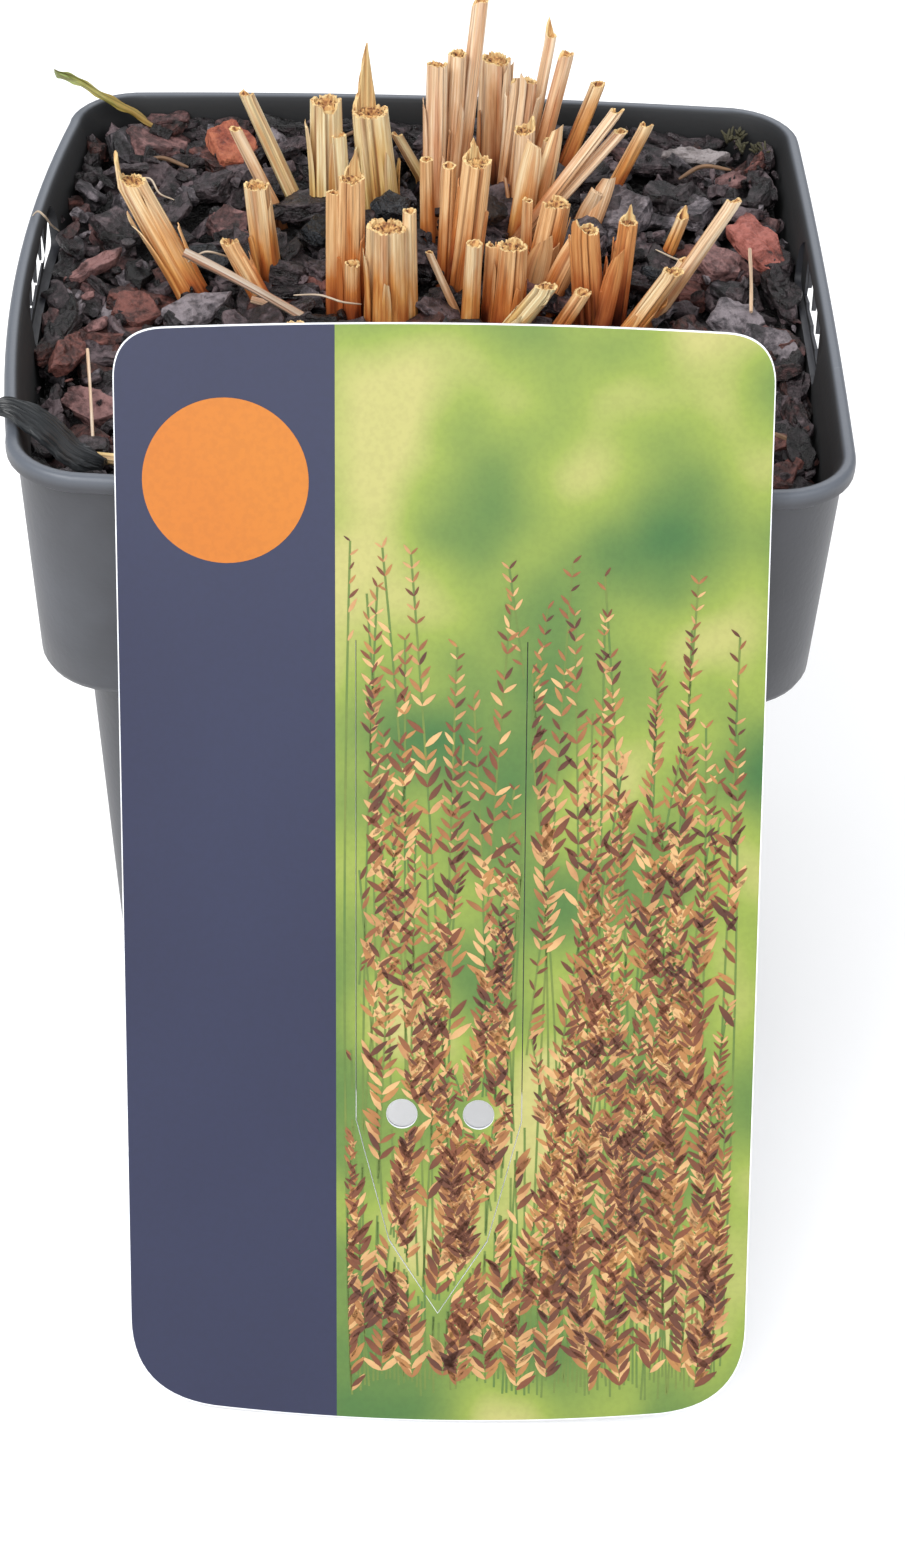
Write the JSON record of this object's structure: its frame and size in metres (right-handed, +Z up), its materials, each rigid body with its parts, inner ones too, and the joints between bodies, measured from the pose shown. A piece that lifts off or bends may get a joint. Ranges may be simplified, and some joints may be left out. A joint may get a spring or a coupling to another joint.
{
  "type": "potted moor grass clump",
  "caption": "Square stepped nursery pot of bark-topped potting mix with a clump of moor grass cut back to straw stubs, and a plant label leaning on its rim.",
  "frame": {"origin": "centre of the pot's flat base, at the surface it stands on", "axes": "+Z up; the label leans on the rim at the -Y side; +X to the right as seen from the label side"},
  "size_m": [0.0931, 0.1342, 0.1155],
  "materials": {
    "pot_plastic": "dark grey moulded plastic, satin, paler where the rim catches the light",
    "potting_mix": "damp dark peat-like crumbs, matt",
    "bark_dark": "purple-brown bark chips, rough, damp in places",
    "bark_orange": "orange-red inner face of bark, rough",
    "bark_red": "red-brown bark, rough",
    "bark_grey": "grey-mauve outer bark, rough",
    "straw": "dry ribbed leaf sheaths and culms, golden tan, satin",
    "straw_weathered": "weathered grey straw, matt",
    "straw_pale": "thin pale straw, satin",
    "leaf_green": "olive green blade browning towards its base",
    "leaf_dead": "dark, damp dead leaf with ribs",
    "label_card": "printed plastic card, semi-gloss, navy side band and green field"
  },
  "bodies": {
    "root": {"pot": "pot_plastic", "potting_mix": "potting_mix", "bark_mulch": "bark_dark", "stub_left_leaning": "straw", "stub_left_upright": "straw", "stub_left_short": "straw", "culm_back_left_tall": "straw", "culm_back_left_low": "straw", "stub_back_broad": "straw", "stub_back_spiked": "straw", "stub_middle_split": "straw", "stub_middle_broad": "straw", "splinter_middle_right": "straw", "splinter_back_left": "straw", "tuft_back_tall": "straw", "stub_back_dark": "straw", "stub_back_twin": "straw", "culm_back_needle": "straw", "culm_back_right": "straw", "culms_right_crossing": "straw", "culm_right_inner": "straw", "stub_back_front": "straw", "stub_centre_tall": "straw", "culm_centre_back": "straw", "stub_right_hidden": "straw", "stub_front_open": "straw", "stub_front_left": "straw", "stub_right_open": "straw", "stub_right_narrow": "straw", "splinter_front_long": "straw", "splinter_front_short": "straw", "culm_right_outer": "straw", "splinter_right_back": "straw", "stub_hidden_left": "straw", "stub_hidden_middle": "straw", "stub_hidden_right": "straw", "culm_hidden_near": "straw", "stub_hidden_front": "straw", "stub_right_slanted": "straw", "chip_orange_back": "bark_orange", "chip_red_right": "bark_orange", "chip_pink_right": "bark_red", "chip_grey_right": "bark_grey", "chip_mauve_left": "bark_grey", "chip_rust_left": "bark_orange", "chip_red_left": "bark_red", "chip_rose_front": "bark_red", "splinter_red_left": "bark_red", "splinter_pale_back": "bark_grey", "grey_straw": "straw_weathered", "short_straw_left": "straw_pale", "thin_straw_left": "straw_pale", "thin_straw_right": "straw_pale", "cream_straw": "straw_pale", "green_blade": "leaf_green", "dead_leaf": "leaf_dead", "plant_label": "label_card"}
  },
  "joints": []
}
